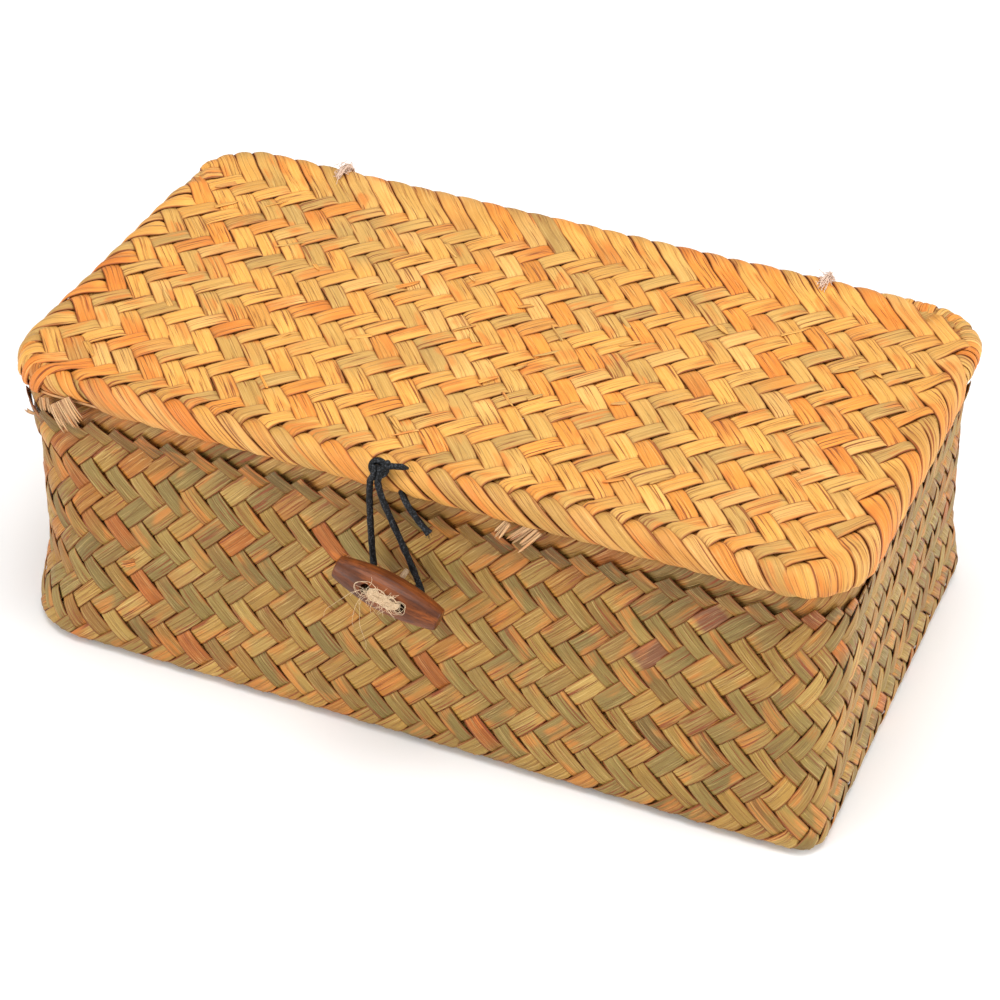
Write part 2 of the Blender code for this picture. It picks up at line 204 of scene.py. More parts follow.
def straw(name, streak, ember, split, crease):
    """Dyed seagrass. Each strip carries its own colour, its coordinates in millimetres and its edges."""
    g = Graph(name)
    tone = g.attribute("tone")["Color"]
    fibre = g.attribute("fibre")["Vector"]
    edge = g.attribute("edge")["Fac"]
    across = g.node("SeparateXYZ", {0: fibre})["Y"]
    fine = g.noise(fibre, (0.055, 2.6, 7.0), 4.0, 0.65)
    broad = g.noise(fibre, (0.028, 0.75, 3.0), 2.0, 0.55)
    cloud = g.noise(fibre, (0.060, 0.12, 5.0), 1.0, 0.5)
    patch = g.noise(fibre, (0.045, 0.10, 9.0), 1.0, 0.5)
    speck = g.noise(fibre, (1.3, 2.6, 2.0), 3.0, 0.6)
    cracks = g.noise(fibre, (0.045, 1.7, 4.0), 2.0, 0.45)
    colour = g.mix(g.ramp(fine, 0.47, 0.70, 0.0, streak), tone, (0.62, 0.40, 0.24), "MULTIPLY")
    colour = g.mix(g.ramp(fine, 0.47, 0.30, 0.0, 0.34), colour, (1.0, 0.70, 0.26))
    warm = g.maths("MULTIPLY", g.ramp(cloud, 0.54, 0.64), g.ramp(broad, 0.38, 0.62, 0.15, 1.0))
    colour = g.mix(g.maths("MULTIPLY", warm, ember), colour, (0.72, 0.215, 0.030))
    torn = g.maths("MULTIPLY", g.ramp(cracks, 0.585, 0.66), g.ramp(patch, 0.40, 0.54, 0.20, 1.0))
    torn = g.maths("MULTIPLY", torn, split)
    colour = g.mix(torn, colour, (0.25, 0.050, 0.009))
    lines = None
    for place, reach in ((11.0, 9.0), (37.0, 11.0)):
        path = g.noise(fibre, (0.014, 0.0, place), 1.0, 0.4)
        wander = g.maths("MULTIPLY", g.maths("SUBTRACT", path, 0.5), reach)
        away = g.maths("ABSOLUTE", g.maths("SUBTRACT", across, wander))
        line = g.ramp(away, 0.22, 0.03)
        lines = line if lines is None else g.maths("MAXIMUM", lines, line)
    colour = g.mix(g.maths("MULTIPLY", lines, crease), colour, (0.24, 0.085, 0.02))
    # darker red-brown strip edges: partly the grass's own edge colour, partly painted shade where strips meet
    # the gaps between them
    colour = g.mix(g.ramp(edge, 0.74, 0.95, 0.0, 0.92), colour, (0.27, 0.062, 0.010))
    colour = g.mix(g.ramp(speck, 0.56, 0.78, 0.0, 0.34), colour, (0.30, 0.11, 0.03))
    height = g.maths("SUBTRACT", g.maths("MULTIPLY", fine, 0.9), g.maths("MULTIPLY", lines, 0.7))
    height = g.maths("SUBTRACT", height, g.maths("MULTIPLY", torn, 0.5))
    height = g.maths("ADD", height, broad)
    return g.finish(base_color=colour, roughness=g.ramp(fine, 0.3, 0.7, 0.44, 0.62),
                    specular_ior_level=0.38, normal=g.bump(height, 0.70, 0.00035))


def core_grass():
    """The loose bundle inside the hem and the roll, only glimpsed between the strips. Its straw colour is
    darkened as painted shade, so the glimpses look like shadowed gaps.
    """
    g = Graph("core_grass_fibres")
    fine = g.noise(g.place(), (900.0, 900.0, 2600.0), 3.0, 0.6)
    colour = g.mix(g.ramp(fine, 0.35, 0.7), (0.24, 0.12, 0.035), (0.07, 0.03, 0.010))
    return g.finish(base_color=colour, roughness=0.7, normal=g.bump(fine, 0.8, 0.0004))


def waxed_cord():
    g = Graph("waxed_cord_braid")
    fine = g.noise(g.place(), (1900.0, 1900.0, 1900.0), 2.0, 0.5)
    colour = g.mix(g.ramp(fine, 0.50, 0.66), (0.0012, 0.0015, 0.002), (0.044, 0.048, 0.055))
    return g.finish(base_color=colour, roughness=g.ramp(fine, 0.3, 0.7, 0.50, 0.68),
                    specular_ior_level=0.22, normal=g.bump(fine, 0.8, 0.0002))


def toggle_wood():
    """Stained and varnished wood, its grain along the toggle."""
    g = Graph("toggle_wood_varnished")
    place = g.node("Mapping", {"Vector": g.place(), "Rotation": (0.0, -TOGGLE_TILT, 0.0)})["Vector"]
    grain = g.noise(place, (60.0, 1100.0, 1100.0), 4.0, 0.65)
    band = g.noise(place, (45.0, 260.0, 260.0), 2.0, 0.5)
    pore = g.noise(place, (500.0, 5000.0, 5000.0), 2.0, 0.5)
    colour = g.mix(g.ramp(band, 0.36, 0.66), (0.100, 0.026, 0.006), (0.260, 0.068, 0.013))
    colour = g.mix(g.ramp(grain, 0.42, 0.66, 0.0, 0.8), colour, (0.060, 0.016, 0.006))
    colour = g.mix(g.ramp(pore, 0.60, 0.76, 0.0, 0.7), colour, (0.030, 0.009, 0.005))
    return g.finish(base_color=colour, roughness=0.46, specular_ior_level=0.24, coat_weight=0.14,
                    coat_roughness=0.24, normal=g.bump(pore, 0.25, 0.00015))


def jute(name, light, dark):
    g = Graph(name)
    fine = g.noise(g.place(), (2500.0, 2500.0, 2500.0), 2.0, 0.5)
    colour = g.mix(g.ramp(fine, 0.35, 0.7), light, dark)
    return g.finish(base_color=colour, roughness=0.8)


# ---- curves and tubes ----
SPAN_STEPS = 12  # points of a smooth line from one given point to the next


def through(points):
    """A smooth line through the points."""
    p = np.array(points, float)
    p = np.vstack([2 * p[0] - p[1], p, 2 * p[-1] - p[-2]])
    t = np.linspace(0.0, 1.0, SPAN_STEPS, endpoint=False)[:, None]
    a, b, c, d = p[:-3, None], p[1:-2, None], p[2:-1, None], p[3:, None]
    spans = 0.5 * (2 * b + (c - a) * t + (2 * a - 5 * b + 4 * c - d) * t ** 2
                   + (3 * b - a - 3 * c + d) * t ** 3)
    return np.vstack([*spans, p[-2:-1]])


def lengths(line):
    return np.concatenate([[0.0], np.cumsum(np.linalg.norm(np.diff(line, axis=0), axis=1))])


def evenly(line, spacing):
    """The same line with points at an even spacing."""
    run = lengths(line)
    places = np.linspace(0.0, run[-1], max(2, int(round(run[-1] / spacing)) + 1))
    return np.stack([np.interp(places, run, line[:, k]) for k in range(line.shape[1])], axis=1)


def unit(vectors):
    return vectors / np.maximum(np.linalg.norm(vectors, axis=-1, keepdims=True), 1e-12)


def frames(line):
    """Two normals along a line, carried along it without twist."""
    tangents = unit(np.gradient(line, axis=0))
    side = np.cross(tangents[0], (0.0, 0.0, 1.0))
    if np.linalg.norm(side) < 0.1:
        side = np.cross(tangents[0], (1.0, 0.0, 0.0))
    sides = []
    for tangent in tangents:
        side = side - tangent * (side @ tangent)
        side = side / np.linalg.norm(side)
        sides.append(side)
    sides = np.array(sides)
    return sides, np.cross(tangents, sides)


class Build:
    """Collects rings of vertices into one mesh, with the attributes that the materials read."""

    def __init__(self):
        self.points, self.faces, self.tone, self.fibre, self.edge = [], [], [], [], []
        self.count = 0

    def rings(self, points, tone=1.0, fibre=0.0, edge=0.0):
        """points is rings × vertices × 3, in metres. Neighbouring rings are joined, the ends are closed."""
        rows, columns = points.shape[:2]
        index = self.count + np.arange(rows * columns).reshape(rows, columns)
        after = np.roll(index, -1, axis=1)
        quads = np.stack([index[:-1], after[:-1], after[1:], index[1:]], axis=-1).reshape(-1, 4)
        self.faces += [*quads.tolist(), index[0][::-1].tolist(), index[-1].tolist()]
        self.points.append(points.reshape(-1, 3))
        self.tone.append(np.broadcast_to(tone, points.shape).reshape(-1, 3))
        self.fibre.append(np.broadcast_to(fibre, points.shape).reshape(-1, 3))
        self.edge.append(np.broadcast_to(edge, (rows, columns)).ravel())
        self.count += rows * columns

    def tube(self, line, radius, sides, braid=0.0, taper=1.0):
        """A round tube. A braid is a depth, as a share of the radius, of the dents between its strands."""
        first, second = frames(line)
        angle = np.linspace(0.0, 2 * math.pi, sides, endpoint=False)
        turn = lengths(line)[:, None] / (radius * 2.6)
        weave = np.abs(np.sin(2 * angle + turn)) + np.abs(np.sin(2 * angle - turn))
        reach = radius * np.reshape(taper, (-1, 1)) * (1.0 - braid + braid * weave)
        offset = first[:, None] * np.cos(angle)[:, None] + second[:, None] * np.sin(angle)[:, None]
        self.rings(line[:, None] + offset * reach[..., None])

    def object(self, name, material, body=None):
        mesh = bpy.data.meshes.new(name)
        mesh.from_pydata(np.concatenate(self.points).tolist(), [], self.faces)
        tone = np.concatenate(self.tone)
        for label, kind, key, data in (
                ("tone", "FLOAT_COLOR", "color", np.column_stack([tone, np.ones(len(tone))])),
                ("fibre", "FLOAT_VECTOR", "vector", np.concatenate(self.fibre)),
                ("edge", "FLOAT", "value", np.concatenate(self.edge))):
            attribute = mesh.attributes.new(label, kind, "POINT")
            attribute.data.foreach_set(key, data.astype(np.float32).ravel())
        mesh.materials.append(material)
        mesh.shade_smooth()
        made = bpy.data.objects.new(name, mesh)
        bpy.context.scene.collection.objects.link(made)
        if body is not None:
            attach(made, body)
        return made


# ---- the flat net and its folding ----
def outline_at(node, height):
    """Half length, front and back of a CAD node's outline at a height, in millimetres."""
    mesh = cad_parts[node].data
    points = np.array([v.co for v in mesh.vertices]) / MM
    ends = points[np.array([e.vertices[:] for e in mesh.edges])]
    below = (ends[:, 0, 2] - height) * (ends[:, 1, 2] - height) < 0
    a, b = ends[below, 0], ends[below, 1]
    cut = a + (b - a) * ((height - a[:, 2]) / (b[:, 2] - a[:, 2]))[:, None]
    return cut[:, 0].max(), cut[:, 1].min(), cut[:, 1].max()


SECTION_HEIGHTS = (5.0, 12.0, 20.0, 30.0, 45.0, 60.0, 70.0, 76.0, HEM_START)


def fold_curve(points):
    line = evenly(through(points), 0.2)
    return lengths(line), line


def make_sections():
    """Half length, half depth and middle of the walls' weave, at the section heights."""
    length, front, back = np.transpose([outline_at("basket_body", z) for z in SECTION_HEIGHTS[:-1]])
    low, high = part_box("body_rim_core")
    core = (high - low) / 2 / MM
    return (np.append(length - SHEET_MIDDLE, core.x - core.z),
            np.append((back - front) / 2 - SHEET_MIDDLE, core.y - core.z),
            np.append((front + back) / 2, 0.0))


SECTION_LENGTH, SECTION_DEPTH, SECTION_MIDDLE = make_sections()
HEM_RUN, HEM_LINE = fold_curve(HEM_FOLD)
ROLL_RUN, ROLL_LINE = fold_curve(ROLL_FOLD)


def smooth(value):
    """From 0 to 1 and level at both ends."""
    value = np.clip(value, 0.0, 1.0)
    return value * value * (3 - 2 * value)


def soft(distance):
    """Near a fold the sheet cuts the corner; this is how far it stays from the sharp edge's plane."""
    return (np.sqrt(distance ** 2 + BASE_FOLD ** 2) - distance) / 2


def round_corner(x, y, length, depth, radius):
    """Takes points from sharp rectangles to rectangles with round corners, ring by ring."""
    p = np.abs(x) - (length - radius)
    q = np.abs(y) - (depth - radius)
    inside = (p > 0) & (q > 0)
    big = np.maximum(np.maximum(p, q), 1e-6)
    small = np.minimum(p, q)
    angle = math.pi / 4 * small / big
    along, side = big * np.cos(angle), big * np.sin(angle)
    new_p = np.where(p >= q, along, side)
    new_q = np.where(p >= q, side, along)
    x = np.where(inside, np.sign(x) * (length - radius + new_p), x)
    y = np.where(inside, np.sign(y) * (depth - radius + new_q), y)
    return x, y


def net_to_wall(x, y, side):
    """Distance round the walls and up them, for a net point seen from a side's wall. Down is negative."""
    if side == "front":
        return x + NET_LENGTH, -NET_DEPTH - y
    if side == "right":
        return 2 * NET_LENGTH + y + NET_DEPTH, x - NET_LENGTH
    if side == "back":
        return 2 * (NET_LENGTH + NET_DEPTH) + NET_LENGTH - x, y - NET_DEPTH
    return 4 * NET_LENGTH + 2 * NET_DEPTH + NET_DEPTH - y, -NET_LENGTH - x


def round_walls(u):
    """The point of the net's rectangle at a distance round it."""
    turns = (0.0, 2 * NET_LENGTH, PERIMETER / 2, PERIMETER / 2 + 2 * NET_LENGTH, PERIMETER)
    u = np.mod(u, PERIMETER)
    x = np.interp(u, turns, (-NET_LENGTH, NET_LENGTH, NET_LENGTH, -NET_LENGTH, -NET_LENGTH))
    y = np.interp(u, turns, (-NET_DEPTH, -NET_DEPTH, NET_DEPTH, NET_DEPTH, -NET_DEPTH))
    return x, y


def box_surface(x, y, side):
    """Folds the net into the box: x and y in the net, to a point in space, all in millimetres."""
    u, w = net_to_wall(x, y, side)
    on_wall = w > 0
    rise = np.where(on_wall, w, 0.0) * WALL_PITCH / PITCH
    wall_x, wall_y = round_walls(u)
    x = np.where(on_wall, wall_x, np.clip(x, -NET_LENGTH, NET_LENGTH))
    y = np.where(on_wall, wall_y, np.clip(y, -NET_DEPTH, NET_DEPTH))
    grip = (np.sqrt(rise ** 2 + BASE_FOLD ** 2) - rise) / BASE_FOLD
    low_x, high_x = soft(x + NET_LENGTH), soft(NET_LENGTH - x)
    low_y, high_y = soft(y + NET_DEPTH), soft(NET_DEPTH - y)
    lift = np.maximum(np.maximum(low_x, high_x), np.maximum(low_y, high_y))
    x = x + grip * (low_x - high_x)
    y = y + grip * (low_y - high_y)
    z = np.where(on_wall, (rise + np.sqrt(rise ** 2 + BASE_FOLD ** 2)) / 2, lift) + SHEET_MIDDLE * grip
    over = np.maximum(rise - HEM_START, 0.0)
    folded = rise > HEM_START
    out = np.interp(z, (SECTION_HEIGHTS[-2], HEM_START), (0.0, HEM_FOLD[0][0]))
    out = np.where(folded, np.interp(over, HEM_RUN, HEM_LINE[:, 0]), out)
    z = np.where(folded, np.interp(over, HEM_RUN, HEM_LINE[:, 1]), np.minimum(z, HEM_START))
    length = np.interp(z, SECTION_HEIGHTS, SECTION_LENGTH)
    depth = np.interp(z, SECTION_HEIGHTS, SECTION_DEPTH)
    middle = np.interp(z, SECTION_HEIGHTS, SECTION_MIDDLE)
    px = x / NET_LENGTH * (length + out)
    py = y / NET_DEPTH * (depth + out)
    left = np.interp(z, CORNER_HEIGHTS, LEFT_CORNERS)
    corner = np.where(px < 0, left, np.interp(z, CORNER_HEIGHTS, RIGHT_CORNERS))
    px, py = round_corner(px, py, length, depth, corner)
    return np.stack([px, py + middle, z], axis=-1)


def panel_distance(x, y):
    """Distance outside the lid panel's edge, and the outward direction there."""
    p = np.abs(x) - STRAIGHT_X
    q = np.abs(y) - STRAIGHT_Y
    outside = np.hypot(np.maximum(p, 0.0), np.maximum(q, 0.0))
    distance = outside + np.minimum(np.maximum(p, q), 0.0) - PANEL_CORNER
    both = (p > 0) & (q > 0)
    nx = np.where(both, p / np.maximum(outside, 1e-6), np.where(p > q, 1.0, 0.0))
    ny = np.where(both, q / np.maximum(outside, 1e-6), np.where(p > q, 0.0, 1.0))
    return distance, nx * np.sign(x), ny * np.sign(y)


def lid_surface(x, y, side):
    """The flat lid, with what passes its edge rolled round the border. It has one net, whatever the side."""
    distance, nx, ny = panel_distance(x, y)
    run = np.maximum(distance + ROLL_LEAD, 0.0)
    rolled = distance > -ROLL_LEAD
    out = np.interp(run, ROLL_RUN, ROLL_LINE[:, 0])
    z = np.where(rolled, np.interp(run, ROLL_RUN, ROLL_LINE[:, 1]), LID_MIDDLE)
    shift = np.where(rolled, out - distance, 0.0)
    share = np.where(ny < 0.0, smooth((STRAIGHT_X - np.abs(x)) / LEAN_FADE), 0.0)
    lean = ROLL_LEAN * np.maximum(distance + 1.0, 0.0) * share
    return np.stack([x + nx * shift + lean, y + ny * shift, z], axis=-1)


# ---- strips ----
def drift(t, spacing, spread):
    """A slow random change along a strip."""
    first = math.floor(t[0] / spacing) - 1
    knots = np.arange(first, math.ceil(t[-1] / spacing) + 2)
    values = rng.normal(0.0, 1.0, len(knots))
    place = t / spacing - first
    below = np.floor(place).astype(int)
    part = smooth(place - below)
    return np.clip(values[below] * (1 - part) + values[below + 1] * part, -2.0, 2.0) * spread


def strip_height(t, sign_at):
    """Height of a strip over the middle of the weave, as a share: it is level at a crossing and passes
    through the weave between two crossings on opposite faces. The second value swells along a float."""
    below = np.floor(t)
    part = t - below
    first = np.array([sign_at(k) for k in below.astype(int)])
    second = np.array([sign_at(k + 1) for k in below.astype(int)])
    height = first + (second - first) * smooth((part - 0.5) / TURN_SHARE + 0.5)
    same = first * second > 0
    swell = np.where(same, first * (0.5 + 0.5 * np.sin(math.pi * part)), 0.5 * height)
    return height, swell


def strip_tone(t, height, palette, weights):
    """Two of the dyes, mixed along the strip, and darker with painted shade where the strip is tucked under.
    """
    one, two = (np.array(palette[k]) for k in rng.choice(len(palette), 2, p=weights))
    share = np.clip(0.4 + drift(t, 3.1, 0.55), 0.0, 1.0)[:, None]
    colour = one * (1 - share) + two * share
    colour = colour * (1.0 + drift(t, 2.3, 0.08))[:, None]
    # painted shade: up to 30 % darker where the strip dips under the crossing strips
    tucked_shade = np.clip((0.4 - height) / 1.2, 0.0, 1.0)[:, None]
    return colour * (1.0 - 0.30 * tucked_shade)


def stained(points, tone):
    """Two strips of the front wall are dyed purple brown for the length of one float."""
    middle = points[:, 3]
    for place in STAIN_PLACES:
        away = np.linalg.norm((middle - np.array(place)) * (1.0, 0.3, 1.0), axis=-1)
        if away.min() < STAIN_NEAR:
            share = 0.85 * np.clip((STAIN_REACH - away) / 1.5, 0.0, 1.0)[:, None, None]
            tone = tone * (1.0 - share) + np.array(STAIN) * share
    return tone


def grain(along, across, seed):
    """The coordinates that a strip's grain follows: along it, across it, and a number of the strip's own."""
    return np.stack(np.broadcast_arrays(along, across, seed), axis=-1)


def add_strip(build, surface, side_at, origin, step, t, sign_at, half_width, palette, weights, lift,
              crown=0.15, shade=1.0, rim=0.94, arch=WALL_ARCH, wander=0.22, tilting=0.10, body=1.0):
    """One strip: origin and step are in flat coordinates, t counts crossings along the strip."""
    origin, step = np.array(origin), np.array(step)
    spacing = np.linalg.norm(step)
    along = step / spacing
    across = np.array((-along[1], along[0]))
    height, swell = strip_height(t, sign_at)
    vigour = 1.0 + drift(t, 2.0, 0.14)
    rise = (height * STRIP_LIFT + swell * arch) * vigour + lift
    tilt = drift(t, 2.0, tilting)
    width = half_width * (1.0 + drift(t, 2.5, 0.04))
    centre = drift(t, 2.6, wander)
    section = np.array(STRIP_TOP + STRIP_BOTTOM)
    v, thick = section[:, 0][None], section[:, 1][None] * body
    lateral = centre[:, None] + v * width[:, None]
    arched = np.reshape(crown, (-1, 1)) * (1 - v ** 2) * np.where(height > 0, 1.0, 0.3)[:, None]
    above = rise[:, None] + tilt[:, None] * v + thick + arched
    flat = origin + t[:, None, None] * step + lateral[..., None] * across
    points = np.empty(flat.shape[:2] + (3,))
    for side in sorted(set(side_at(t))):
        rows = side_at(t) == side
        x, y = flat[rows, :, 0], flat[rows, :, 1]
        here = surface(x, y, side)
        ahead = surface(x + along[0] * 0.4, y + along[1] * 0.4, side)
        beside = surface(x + across[0] * 0.4, y + across[1] * 0.4, side)
        normal = unit(np.cross(ahead - here, beside - here))
        points[rows] = here + normal * above[rows][..., None]
    tone = strip_tone(t, height, palette, weights)
    tone = (tone * np.reshape(shade, (-1, 1)) ** np.array(SHADE_POWERS))[:, None]
    if palette is RISING_PALETTE:
        tone = stained(points, tone)
    fibre = grain((t * spacing)[:, None], lateral, rng.uniform(0.0, 60.0))
    build.rings(points * MM, tone, fibre, np.abs(v) * np.reshape(rim, (-1, 1)))


def splinter(build, surface, side, place, rising, palette, weights):
    """A sliver that has peeled off a strip: it lies on the strip and lifts towards its end."""
    lean = np.array((1.0, 1.0)) if rising else np.array((1.0, -1.0))
    if side in ("left", "right"):
        lean = lean[::-1]
    way = rng.choice((-1.0, 1.0)) * lean * PITCH / 2
    t = np.linspace(0.0, rng.uniform(0.7, 1.7), 9)
    part = t / t[-1]
    add_strip(build, surface, lambda t: np.full(len(t), side), place, way, t, lambda k: 1.0,
              rng.uniform(0.4, 1.3) * (1.0 - 0.75 * part ** 4), palette, weights,
              lift=0.22 + rng.uniform(0.15, 0.7) * part ** 2, crown=0.0, wander=0.1, body=0.35)


def frayed_end(build, place, way, spread, count, reach, tone):
    """A torn strip end: slivers side by side that part towards their tips. Millimetres."""
    way = unit(np.array(way, float))
    across = unit(np.cross(way, (0.0, -1.0, 0.0)))
    out = np.cross(across, way)
    out = out * -np.sign(out[1])
    section = np.array(((-1.0, 0.0), (0.0, 0.14), (1.0, 0.0), (0.0, -0.14)))
    s = np.linspace(0.0, 1.0, 12)[:, None]
    for number in range(count):
        share = (number + 0.5) / count * 2.0 - 1.0
        heading = unit(way + across * (0.07 * share + rng.normal(0.0, 0.025)))
        length = reach * rng.uniform(0.7, 1.05)
        line = np.array(place) + across * share * spread + heading * length * s
        line = line + out * (rng.uniform(0.1, 0.35) + rng.uniform(0.4, 0.9) * np.sin(2.4 * s))
        wide = (spread / count * rng.uniform(1.1, 1.5) * (1.0 - 0.8 * s ** 6))[..., None]
        points = line[:, None] + across * section[:, :1] * wide + out * section[:, 1:]
        fibre = grain(s * length, section[:, 0] * wide[:, :, 0], rng.uniform(0.0, 60.0))
        shade = np.array(tone) * rng.uniform(0.75, 1.15)
        build.rings(points * MM, shade, fibre, np.abs(section[:, 0]) * 0.9)


# ---- the box ----
WALL_WEIGHTS = (0.24, 0.20, 0.18, 0.12, 0.13, 0.04, 0.09)
LID_WEIGHTS = (0.30, 0.12, 0.24, 0.14, 0.12, 0.06, 0.02)
HEM_EXTRA = 28.0 / WALL_PITCH * 2  # crossings' worth of strip over the hem's hoop and down inside
BASE_STATIONS = 3  # rings of vertices for each crossing
WALL_STATIONS = 4
# place, direction, half width, slivers, length and colour
FRAYED_ENDS = (((-124.5, -80.9, 97.0), (0.55, -0.1, -0.76), 5.2, 12, 10.5, FRAYED),
               ((-131.0, -80.0, 96.0), (0.20, -0.1, -0.9), 2.0, 5, 6.0, FRAYED),
               ((47.0, -80.9, 97.0), (-0.65, -0.1, -0.70), 2.8, 6, 11.0, FRAYED),
               ((37.5, -80.9, 96.5), (-0.5, -0.1, -0.8), 1.2, 3, 8.0, FRAYED),
               ((-99.0, -84.8, 39.8), (-0.85, -0.2, -0.25), 1.2, 5, 5.0, TORN),
               ((-139.5, -74.0, 83.0), (-0.45, -0.35, 0.60), 1.2, 3, 5.0, FRAYED))


def wall_sign(level, rising):
    """Whether a strip lies outside at a wall crossing. In the rising family's bands it does."""
    outside = (level + WALL_PHASE) % 4 < 2
    return 1.0 if outside == rising else -1.0


def box_strips():
    """Every strip runs up one wall, across the base and up another wall."""
    builds = [Build() for _ in range(4)]
    step = PITCH / 2
    for family in (0, 1):
        for number in range(48):
            c = (number - 23.5) * PITCH
            # family 0 keeps x + y = c and runs from the front or right edge to the back or left edge;
            # family 1 keeps x - y = c and runs from the front or left edge to the back or right edge
            turn = 1.0 if family == 0 else -1.0
            start_x = min(turn * c + NET_DEPTH, NET_LENGTH) * turn
            start_y = turn * (c - start_x)
            end_x = max(turn * c - NET_DEPTH, -NET_LENGTH) * turn
            crossings = int(round(abs(end_x - start_x) / step))
            on_front = abs(start_y + NET_DEPTH) < 1e-6
            end_y = turn * (c - end_x)
            on_back = abs(end_y - NET_DEPTH) < 1e-6
            others = ("right", "left") if family == 0 else ("left", "right")
            sides = ("front" if on_front else others[0], "back" if on_back else others[1])
            rising = (on_front == (family == 0), on_back == (family == 0))
            box_strip(builds[family * 2 + number % 2], (start_x, start_y), (-turn * step, step), crossings,
                      sides, rising)
    return builds


def box_strip(build, start, step, crossings, sides, rising):
    """start is where the strip meets the base's edge; rising says for each end which way it leans."""
    first_level = WALL_LEVELS + (HEM_EXTRA if rising[0] else -0.1)
    last_level = WALL_LEVELS + (HEM_EXTRA if rising[1] else -0.1)
    t = np.concatenate([
        np.arange(-first_level, 0.0, 1.0 / WALL_STATIONS),
        np.arange(0.0, crossings, 1.0 / BASE_STATIONS),
        crossings + np.arange(0.0, last_level, 1.0 / WALL_STATIONS)])

    def sign_at(k):
        if k <= 0 or k >= crossings:
            level, up = (-k, rising[0]) if k <= 0 else (k - crossings, rising[1])
            if level > WALL_LEVELS:
                return 0.75 if up else -1.0
            return wall_sign(level, up)
        row = 2 * (start[1] + NET_DEPTH + k * step[1]) / PITCH
        # on the base the bands run along x
        down = (-int(round(row)) + WALL_PHASE) % 4 < 2
        return 1.0 if down == (step[0] < 0) else -1.0

    def side_at(t):
        return np.where(t <= crossings / 2, sides[0], sides[1])

    half = math.hypot(*step) / 2
    level = np.where(t < 0, -t, np.maximum(t - crossings, 0.0))
    up = np.where(t <= crossings / 2, rising[0], rising[1])
    width = np.where(up, rng.uniform(1.01, 1.07), rng.uniform(0.92, 1.03)) * half
    lift = np.where(level > WALL_LEVELS + 0.5, -0.25, 0.0)
    palette = RISING_PALETTE if rising[0] else FALLING_PALETTE
    shade = 1.0 - 0.38 * np.clip((level - WALL_LEVELS + 2.5) / 2.0, 0.0, 1.0)
    add_strip(build, box_surface, side_at, start, step, t, sign_at, width, palette, WALL_WEIGHTS, lift=lift,
              shade=shade)


def box_wear(build):
    for side, along, count in (("front", NET_LENGTH, 46), ("back", NET_LENGTH, 40), ("left", NET_DEPTH, 24),
                               ("right", NET_DEPTH, 26)):
        for _ in range(count):
            run = rng.uniform(-0.93, 0.93) * along
            up = rng.uniform(5.0, 88.0)
            place = {"front": (run, -NET_DEPTH - up), "back": (run, NET_DEPTH + up),
                     "left": (-NET_LENGTH - up, run), "right": (NET_LENGTH + up, run)}[side]
            palette = (LID_PALETTE, RISING_PALETTE)[rng.integers(2)]
            splinter(build, box_surface, side, place, rng.random() < 0.5, palette, WALL_WEIGHTS)
    for end in FRAYED_ENDS:
        frayed_end(build, *end)


# ---- the lid ----
ROLL_TAKE = 27.0  # length of strip that goes round the roll
SHORTEST_STRIP = 7.0  # a shorter one across a corner is left out
SHORTEST_ROLLED = 20.0  # a shorter one isn't taken round the roll
TRACE_STEP = 0.02  # of a crossing, when a strip is followed to the panel's edge
LEFT_FRONT = -126.0  # left of here the other family goes over the border
LEFT_BACK = 46.0  # up to here along the left side


def rolls_over(family, x, y):
    """Which family is folded over the border there. The other family ends under it."""
    if family == 0:
        return x > LEFT_FRONT or (y > LEFT_BACK and x < 0)
    return x < LEFT_FRONT + 9.0 and y < LEFT_BACK + 9.0 and (x < 8.0 - PANEL_LENGTH or y < 0)


def lid_strips():
    builds = [Build(), Build()]
    fine = np.arange(-34.0, 34.0, TRACE_STEP)
    for family in (0, 1):
        turn = -1.0 if family == 0 else 1.0
        step = np.array((turn * LID_PITCH_X / 2, LID_PITCH_Y / 2))
        for number in range(-26, 26):
            origin = np.array(((number + 0.5) * LID_PITCH_X, 0.0))
            line = origin + fine[:, None] * step
            distance = panel_distance(line[:, 0], line[:, 1])[0]
            inside = np.flatnonzero(distance < 0)
            span = len(inside) * TRACE_STEP * np.linalg.norm(step)
            if span < SHORTEST_STRIP:
                continue
            ends, rolled, woven = [], [], []
            for index, way in ((inside[0], -1), (inside[-1], 1)):
                over = span > SHORTEST_ROLLED and rolls_over(family, *line[index])
                reach = ROLL_TAKE if over else TUCKED_END
                places = np.flatnonzero(distance * (np.sign(np.arange(len(fine)) - index) == way) > reach)
                ends.append(fine[places[-1] if way < 0 else places[0]])
                rolled.append(over)
                edge_reach = BACK_REACH if line[index, 1] > PANEL_DEPTH - 1.0 else EDGE_REACH
                if line[index, 1] < 1.0 - PANEL_DEPTH and line[index, 0] > FRONT_REACH_FROM:
                    edge_reach = FRONT_REACH
                woven.append(fine[index] + way * edge_reach)
            edges = (fine[inside[0]], fine[inside[-1]])
            lid_strip(builds[family], origin, step, ends, rolled, edges, woven, family)
    return builds


